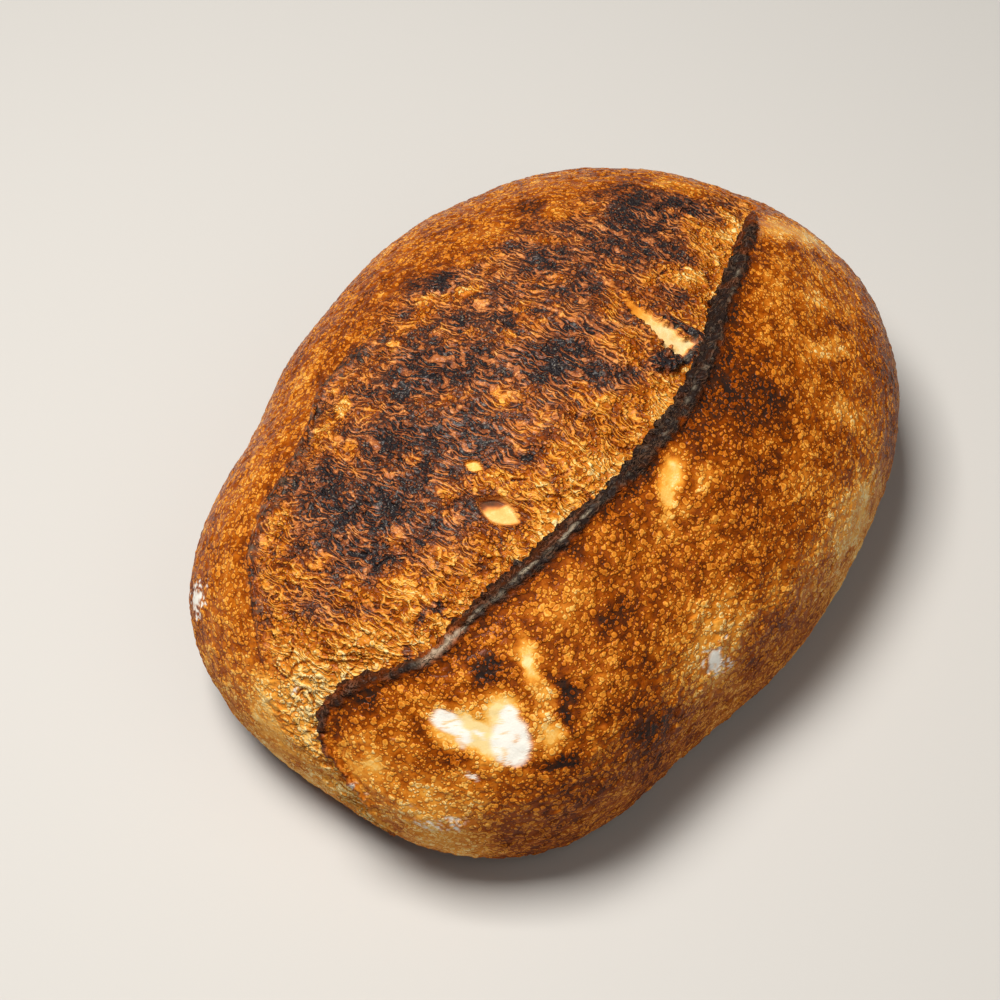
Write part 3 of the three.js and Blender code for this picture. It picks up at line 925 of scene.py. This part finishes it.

# Grey on the lip's crest as a painted highlight line, ash grey on the crease, and painted shade greying the
# floors of the burst bubble and the tear
crest_width = mix(0.30, 1.0, smoothstep(-82, -90, ear_x))
crest = np.exp(-(((across - 0.2 - 0.9 * noise(form, 8, 89)) / crest_width) ** 2))
crest *= lip * ears * smoothstep(-101, -94, ear_x)
along_crest = 0.34 * smoothstep(-26, -38, ear_x) + 0.6 * smoothstep(-80, -88, ear_x)
crest_painted_highlight = 0.7 * noise(form, 2.4, 90) + 0.6 * noise(form, 11, 77) - 0.12 + along_crest
ash_highlight_and_shade = crest * np.clip(crest_painted_highlight, 0, 0.6)
ash_highlight_and_shade = np.maximum(ash_highlight_and_shade, 0.12 * crease_line * smoothstep(-0.2, 0.4, noise(form, 1.8, 94)))
# painted shade: the floors of the burst bubble and the tear greyed darker
ash_highlight_and_shade = np.maximum(ash_highlight_and_shade, 0.20 * burst * (1 - burst_shade) + 0.28 * tear * smoothstep(0.2, 0.6, tear_share))

# How matte the crust is, and where the crumb has charred
matte = np.clip(0.28 + 0.40 * smoothstep(66, 34, height) + 0.15 * burn + 0.6 * flour, 0, 0.95)
charred = 0.8 * torn * smoothstep(0.50, 0.80, toast + 0.10 * crags)

# The middle of the loaf's outline goes to the frame's origin
middle = (crust.reshape(-1, 3).min(0) + crust.reshape(-1, 3).max(0)) / 2
middle[2] = 0
crust -= middle

# -------- pieces of the crust

PIECES = [
    ("loaf_ear", "right", 180, "bloom", 20),
    ("loaf_bloom_inner", "bloom", 20, "bloom", 120),
    ("loaf_bloom_outer", "bloom", 120, "left", 0),
    ("loaf_left_crust", "left", 0, "left_foot", 0),
    ("loaf_left_foot", "left_foot", 0, "base", 0),
    ("loaf_underside", "base", 0, "right_foot", 0),
    ("loaf_right_foot", "right_foot", 0, "right", 0),
    ("loaf_right_crust", "right", 0, "right", 150),
    ("loaf_right_shoulder", "right", 150, "right", 180),
]

PAINTED = {
    "toast": toast,
    "flour": flour,
    "torn": torn,
    "charred": charred,
    "blistered": blistered,
    "ash_highlight_and_shade": ash_highlight_and_shade,
    "burnt": burn,
    "matte": matte,
}
crust_normal = grid_normals(crust)


def strip_faces(width):
    """The faces of a strip of the grid, with a fan of triangles at each pole: their corners and sizes."""
    inner_rows = ROWS - 1
    corner = 1 + np.arange(inner_rows - 1)[:, None] * width + np.arange(width - 1)[None, :]
    quads = np.stack([corner, corner + 1, corner + width + 1, corner + width], -1).reshape(-1, 4)
    fan = np.arange(width - 1)
    tip_fan = np.stack([np.zeros_like(fan), 2 + fan, 1 + fan], -1)
    last_row = 1 + (inner_rows - 1) * width
    heel = last_row + width
    heel_fan = np.stack([np.full_like(fan, heel), last_row + fan, last_row + fan + 1], -1)
    corners = np.concatenate([quads.ravel(), tip_fan.ravel(), heel_fan.ravel()])
    sizes = np.concatenate([np.full(len(quads), 4), np.full(2 * len(fan), 3)])
    return corners, sizes


def map_piece(mesh, towards, corners, from_below):
    """A flat map of the piece: its directions from above, or below, laid out with equal areas."""
    up = -towards[:, 2] if from_below else towards[:, 2]
    spread = 1 / np.sqrt(np.maximum(1e-6, 1 + up))
    flat = towards[:, :2] * spread[:, None]
    flat -= flat.min(0)
    flat = 0.005 + 0.99 * flat / flat.max()
    layer = mesh.uv_layers.new(name="OFBake")
    layer.data.foreach_set("uv", flat[corners].astype(np.float32).ravel())


def make_piece(name, first, last, material):
    """A strip of the grid from one column to another, with its poles as single points."""
    if last <= first:
        last += COLUMNS
    cols = np.arange(first, last + 1) % COLUMNS

    def gathered(values):
        inner = values[1:-1][:, cols]
        flat = inner.reshape((-1,) + inner.shape[2:])
        return np.concatenate([values[0, :1], flat, values[-1, :1]])

    points = gathered(crust) * MM
    corners, sizes = strip_faces(len(cols))
    mesh = bpy.data.meshes.new(name)
    mesh.vertices.add(len(points))
    mesh.vertices.foreach_set("co", points.astype(np.float32).ravel())
    mesh.loops.add(len(corners))
    mesh.loops.foreach_set("vertex_index", corners.astype(np.int32))
    mesh.polygons.add(len(sizes))
    mesh.polygons.foreach_set("loop_start", np.concatenate([[0], np.cumsum(sizes)[:-1]]).astype(np.int32))
    mesh.polygons.foreach_set("loop_total", sizes.astype(np.int32))
    mesh.update(calc_edges=True)
    mesh.polygons.foreach_set("use_smooth", np.ones(len(sizes), dtype=bool))
    for key, values in PAINTED.items():
        layer = mesh.attributes.new(key, "FLOAT", "POINT")
        layer.data.foreach_set("value", gathered(values).astype(np.float32).ravel())
    map_piece(mesh, gathered(toward), corners, name == "loaf_underside")
    mesh.validate()
    mesh.normals_split_custom_set_from_vertices(gathered(crust_normal).astype(np.float32))
    mesh.materials.append(material)
    piece = bpy.data.objects.new(name, mesh)
    bpy.context.scene.collection.objects.link(piece)
    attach(piece, "root")
    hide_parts("loaf")


# -------- materials


def arithmetic(operation, swapped=False):
    """A method of Value that adds a Math node."""

    def method(self, other):
        first, second = (other, self) if swapped else (self, other)
        return self.finish.node("ShaderNodeMath", {"operation": operation}, {0: first, 1: second})

    return method


class Value:
    """A socket that takes part in plain arithmetic."""

    def __init__(self, finish, socket):
        self.finish = finish
        self.socket = socket

    __add__ = arithmetic("ADD")
    __radd__ = arithmetic("ADD", True)
    __sub__ = arithmetic("SUBTRACT")
    __rsub__ = arithmetic("SUBTRACT", True)
    __mul__ = arithmetic("MULTIPLY")
    __rmul__ = arithmetic("MULTIPLY", True)
    or_more = arithmetic("MAXIMUM")
    or_less = arithmetic("MINIMUM")


class Finish:
    """A material's node tree, built one node at a time."""

    def __init__(self, name):
        self.material = bpy.data.materials.new(name)
        self.material.use_nodes = True
        self.tree = self.material.node_tree
        self.tree.nodes.clear()

    def node(self, kind, settings=None, sockets=None, output=0):
        made = self.tree.nodes.new(kind)
        for key, value in (settings or {}).items():
            if key == "stops":
                set_stops(made.color_ramp, value)
            else:
                setattr(made, key, value)
        for key, value in (sockets or {}).items():
            if isinstance(value, Value):
                self.tree.links.new(value.socket, made.inputs[key])
            else:
                made.inputs[key].default_value = value
        return Value(self, made.outputs[output]) if made.outputs else made

    def attribute(self, name):
        return self.node("ShaderNodeAttribute", {"attribute_name": name}, output="Fac")

    def blend(self, share, a, b):
        settings = {"data_type": "RGBA", "clamp_factor": True}
        return self.node("ShaderNodeMix", settings, {0: share, 6: a, 7: b}, output=2)

    def between(self, value, low, high, to_low=0.0, to_high=1.0):
        settings = {"interpolation_type": "SMOOTHSTEP"}
        return self.node("ShaderNodeMapRange", settings, {0: value, 1: low, 2: high, 3: to_low, 4: to_high})

    def cloud(self, way, scale, detail=2.0, output=0):
        sockets = {"Vector": way, "Scale": scale, "Detail": detail}
        return self.node("ShaderNodeTexNoise", None, sockets, output)

    def bent(self, place, way, reach):
        """Places moved along a way, by a reach in each direction."""
        sockets = {0: way, 1: reach, 2: place}
        return self.node("ShaderNodeVectorMath", {"operation": "MULTIPLY_ADD"}, sockets)

    def stretched(self, place, scale):
        return self.node("ShaderNodeMapping", sockets={"Vector": place, "Scale": scale})

    def ridges(self, way, scale, distortion):
        """1 on winding ridges, 0 between them."""
        sockets = {"Vector": way, "Scale": scale, "Detail": 2.0, "Distortion": distortion}
        lumps = self.node("ShaderNodeTexNoise", sockets=sockets)
        off = self.node("ShaderNodeMath", {"operation": "ABSOLUTE"}, {0: (lumps - 0.5) * 5.0})
        return self.between(1.0 - off, -0.1, 0.95)

    def strands(self, way, scale, winding):
        """1 on thin winding strands that run across the loaf, 0 between them."""
        settings = {"wave_type": "BANDS", "bands_direction": "X", "wave_profile": "SIN"}
        shape = {"Vector": way, "Scale": scale, "Distortion": winding, "Detail": 2.0, "Detail Scale": 1.3}
        return self.between(self.node("ShaderNodeTexWave", settings, shape, output="Fac"), 0.5, 0.97)

    def blister_layer(self, way, scale, spread, least):
        """How far outside round blisters a place is, below 0 inside them, in parts of their spacing."""
        cells = {"Vector": way, "Scale": scale, "Randomness": 1.0}
        chance = self.node("ShaderNodeTexVoronoi", {"feature": "F1"}, cells, output="Color")
        share = self.node("ShaderNodeSeparateColor", sockets={"Color": chance})
        apart = self.node("ShaderNodeTexVoronoi", {"feature": "F1"}, cells)
        return apart - share * spread - least


def set_stops(color_ramp, stops):
    color_ramp.interpolation = "LINEAR"
    while len(color_ramp.elements) > 1:
        color_ramp.elements.remove(color_ramp.elements[-1])
    for k, (place, color) in enumerate(stops):
        element = color_ramp.elements[0] if k == 0 else color_ramp.elements.new(place)
        element.position = place
        element.color = (*color, 1)


BAKED_SKIN = [
    (0.00, (0.88, 0.67, 0.31)),
    (0.11, (0.85, 0.48, 0.115)),
    (0.21, (0.79, 0.345, 0.045)),
    (0.31, (0.67, 0.240, 0.024)),
    (0.45, (0.50, 0.138, 0.009)),
    (0.60, (0.28, 0.056, 0.002)),
    (0.75, (0.125, 0.023, 0.002)),
    (0.88, (0.052, 0.015, 0.005)),
    (1.00, (0.020, 0.012, 0.010)),
]
CHARRED_CRUMB = [
    (0.00, (0.90, 0.72, 0.42)),
    (0.15, (0.80, 0.46, 0.20)),
    (0.30, (0.66, 0.27, 0.105)),
    (0.45, (0.44, 0.150, 0.055)),
    (0.60, (0.23, 0.070, 0.028)),
    (0.75, (0.105, 0.032, 0.017)),
    (0.88, (0.046, 0.024, 0.020)),
    (1.00, (0.018, 0.016, 0.019)),
]
# From the middle of a blister, over its thin pale rim, a painted highlight, and the dark groove round it,
# painted shade, to the skin between
BLISTER_GREYS = [
    (0.00, 0.44), (0.24, 0.42), (0.34, 0.13), (0.45, 0.12), (0.52, 0.90), (0.62, 0.70), (1.00, 0.60),
]
BLISTER_SHADES = [(place, (grey, grey, grey)) for place, grey in BLISTER_GREYS]
FLOUR_WHITE = (0.88, 0.86, 0.80, 1)
# a grey for ash, for painted highlights on the lip and painted glints on the crumb, and for painted shade
# in the burst bubble and the tear
ASH_AND_PAINTED_LIGHT_GREY = (0.56, 0.47, 0.34, 1)

# Spacings of the patterns, as how many there are to a metre
GRAINS = 1500.0
MOTTLES = 300.0
LUMPS = 150.0
COARSE_STRANDS = 120.0
FINE_STRANDS = 210.0
EAR_LINES = 420.0
SQUIRMS = 330.0
# Blisters, small to large: how many to a metre, how much their sizes spread, how much is taken off
BLISTER_LAYERS = [(740.0, 0.30, 0.22), (500.0, 0.44, 0.08), (330.0, 0.56, -0.16)]

BEND = (1.7 * MM, 1.7 * MM, 1.7 * MM)  # how far blisters are pulled out of round
SWAY = (4.8 * MM, 4.8 * MM, 4.8 * MM)  # how far the crumb's strands sway
ACROSS_LOAF = (1.0, 0.5, 0.5)  # strands are drawn out across the loaf
ALONG_EAR = (0.3, 1.0, 1.0)  # and the ear's lines along it
RELIEF_DEPTH = 0.6 * MM


def crumb_strands(finish, place):
    """Curled strands of the torn crumb, where they lie thick, and the fine lines along the ear."""
    swaying = finish.bent(place, finish.cloud(place, LUMPS, 1.0, "Color"), SWAY)
    way = finish.stretched(swaying, ACROSS_LOAF)
    fine = finish.strands(way, FINE_STRANDS, 13.0) * 0.8
    strands = finish.strands(way, COARSE_STRANDS, 16.0).or_more(fine)
    stringy = finish.between(finish.cloud(place, LUMPS, 1.0), 0.40, 0.56)
    ridges = finish.ridges(finish.stretched(swaying, ALONG_EAR), EAR_LINES, 0.5)
    return strands * (stringy * 0.75 + 0.25), stringy, finish.between(ridges, 0.84, 1.0)


def skin_blisters(finish, place):
    """Small flat-topped blisters, each of its own size, and the tone of each place in and round them, with
    a painted highlight on each rim and painted shade in its groove.
    """
    bent = finish.bent(place, finish.cloud(place, SQUIRMS, output="Color"), BEND)
    small, middling, large = [finish.blister_layer(bent, *layer) for layer in BLISTER_LAYERS]
    edge = small.or_less(middling).or_less(large)
    shade = finish.node("ShaderNodeValToRGB", {"stops": BLISTER_SHADES}, {0: edge + 0.5})
    return finish.between(edge, -0.20, 0.12, 1.0, 0.0), shade


def crust_finish():
    finish = Finish("baked_crust")
    place = finish.node("ShaderNodeTexCoord", output="Object")
    toasted, torn, charred, blistered, floured, ash_light_and_shade, burnt, matte = [
        finish.attribute(name)
        for name in ("toast", "torn", "charred", "blistered", "flour", "ash_highlight_and_shade", "burnt", "matte")
    ]
    grain = finish.cloud(place, GRAINS)
    mottle = finish.cloud(place, MOTTLES)
    strands, stringy, ear_lines = crumb_strands(finish, place)
    blister, shade = skin_blisters(finish, place)

    # Strands and blisters stand paler and the dips between them darker: partly paler crumb and skin, partly
    # painted highlights on strands and blister rims and painted shade in the dips
    strand_light = torn * (strands - 0.22) * (toasted * 0.36 + 0.18)
    blister_light = (blistered * 0.50 + torn * (0.58 - stringy * 0.34)) * (0.50 - shade)
    mottling = (blistered * 0.32 + 0.12) * (mottle - 0.5) + (grain - 0.5) * 0.16
    # on the burnt lip, the paler lines along the ear are painted highlights
    toasted = toasted - strand_light - blister_light + mottling - burnt * (ear_lines - 0.3) * 0.08
    skin_color = finish.node("ShaderNodeValToRGB", {"stops": BAKED_SKIN}, {0: toasted})
    charred_color = finish.node("ShaderNodeValToRGB", {"stops": CHARRED_CRUMB}, {0: toasted})
    color = finish.blend(charred, skin_color, charred_color)
    # painted glints: small pale specks on the torn crumb
    painted_glint = finish.between(grain, 0.60, 0.70)
    # grey: ash, painted highlight lines on the burnt lip, and the painted glints
    greyed = ash_light_and_shade + burnt * ear_lines * 0.05 + torn * painted_glint * 0.30
    color = finish.blend(greyed, color, ASH_AND_PAINTED_LIGHT_GREY)
    color = finish.blend(floured, color, FLOUR_WHITE)

    crumb_relief = torn * (strands * 0.8 + blister * (1.0 - stringy * 0.5))
    ear_relief = burnt * (ear_lines + blister * 0.5)
    relief = crumb_relief + ear_relief + blistered * blister * 0.42 + grain * 0.15
    raised = {"Height": relief, "Strength": 1.0, "Distance": RELIEF_DEPTH}
    looks = {
        "Base Color": color,
        "Roughness": matte,
        "Normal": finish.node("ShaderNodeBump", sockets=raised),
        "Specular IOR Level": 0.08,
        "Coat Weight": charred * 0.12,
        "Coat Roughness": 0.26,
    }
    shader = finish.node("ShaderNodeBsdfPrincipled", sockets=looks)
    finish.node("ShaderNodeOutputMaterial", sockets={"Surface": shader})
    return finish.material


baked_crust = crust_finish()
for piece_name, from_band, from_step, to_band, to_step in PIECES:
    make_piece(piece_name, band_start[from_band] + from_step, band_start[to_band] + to_step, baked_crust)

# -------- floor, light and camera

FLOOR_SIZE = 6.0  # in metres
FLOOR_LOOKS = {"Base Color": (0.56, 0.55, 0.54, 1), "Roughness": 0.8}


def make_floor():
    finish = Finish("pale_floor")
    shader = finish.node("ShaderNodeBsdfPrincipled", sockets=FLOOR_LOOKS)
    finish.node("ShaderNodeOutputMaterial", sockets={"Surface": shader})
    half = FLOOR_SIZE / 2
    mesh = bpy.data.meshes.new("floor")
    corners = [(-half, -half, 0), (half, -half, 0), (half, half, 0), (-half, half, 0)]
    mesh.from_pydata(corners, [], [(0, 1, 2, 3)])
    mesh.materials.append(finish.material)
    floor = bpy.data.objects.new("floor", mesh)
    bpy.context.scene.collection.objects.link(floor)


make_floor()

# Sizes of the camera in millimetres, of the image in pixels
CAMERA_DISTANCE = 735
CAMERA_ELEVATION = 58 * DEGREE
CAMERA_TURN = 33 * DEGREE  # from +X towards +Y, the way that the camera looks in plan
CAMERA_LENS = 80
SENSOR = 36
IMAGE_WIDTH = 1000
AIM = np.array([-10, -3, 40]) - middle  # the place of the loaf that shows at the aim pixel
AIM_PIXEL = (545, 504)

far = np.array([math.cos(CAMERA_TURN), math.sin(CAMERA_TURN), 0])
screen_right = np.array([math.sin(CAMERA_TURN), -math.cos(CAMERA_TURN), 0])
forward = math.cos(CAMERA_ELEVATION) * far - math.sin(CAMERA_ELEVATION) * np.array([0, 0, 1.0])
screen_up = np.cross(screen_right, forward)

# Soft square lamps: name, how far to the view's right, to its far side and up, width, watts, colour
LAMPS = [
    ("key", -290, 0, 1120, 420, 18.0, (1.0, 0.965, 0.90)),
    ("fill", 500, -500, 900, 900, 2.2, (1.0, 0.94, 0.84)),
]
LAMP_AIM = np.array([0, 0, 50]) * MM
ROOM_LIGHT = 0.05
ROOM_COLOR = (1.0, 1.0, 1.0, 1)


def make_camera():
    pixel = CAMERA_DISTANCE * SENSOR / (CAMERA_LENS * IMAGE_WIDTH)
    aside = (AIM_PIXEL[0] - IMAGE_WIDTH / 2) * pixel
    above = (IMAGE_WIDTH / 2 - AIM_PIXEL[1]) * pixel
    place = AIM - forward * CAMERA_DISTANCE - screen_right * aside - screen_up * above
    data = bpy.data.cameras.new("camera")
    data.lens = CAMERA_LENS
    data.sensor_width = SENSOR
    camera = bpy.data.objects.new("camera", data)
    camera.location = place * MM
    camera.rotation_euler = Vector(forward).to_track_quat("-Z", "Y").to_euler()
    bpy.context.scene.collection.objects.link(camera)
    bpy.context.scene.camera = camera


def make_lamp(name, toward_right, toward_far, up, size, watts, color):
    place = (screen_right * toward_right + far * toward_far + np.array([0, 0, up])) * MM
    data = bpy.data.lights.new(name, "AREA")
    data.shape = "SQUARE"
    data.size = size * MM
    data.energy = watts
    data.color = color
    lamp = bpy.data.objects.new(name, data)
    lamp.location = place
    lamp.rotation_euler = Vector(place - LAMP_AIM).to_track_quat("Z", "Y").to_euler()
    bpy.context.scene.collection.objects.link(lamp)


def make_room():
    world = bpy.data.worlds.new("room")
    world.use_nodes = True
    background = world.node_tree.nodes["Background"]
    background.inputs["Color"].default_value = ROOM_COLOR
    background.inputs["Strength"].default_value = ROOM_LIGHT
    bpy.context.scene.world = world


make_camera()
for lamp in LAMPS:
    make_lamp(*lamp)
make_room()
bpy.context.scene.view_settings.view_transform = "Standard"
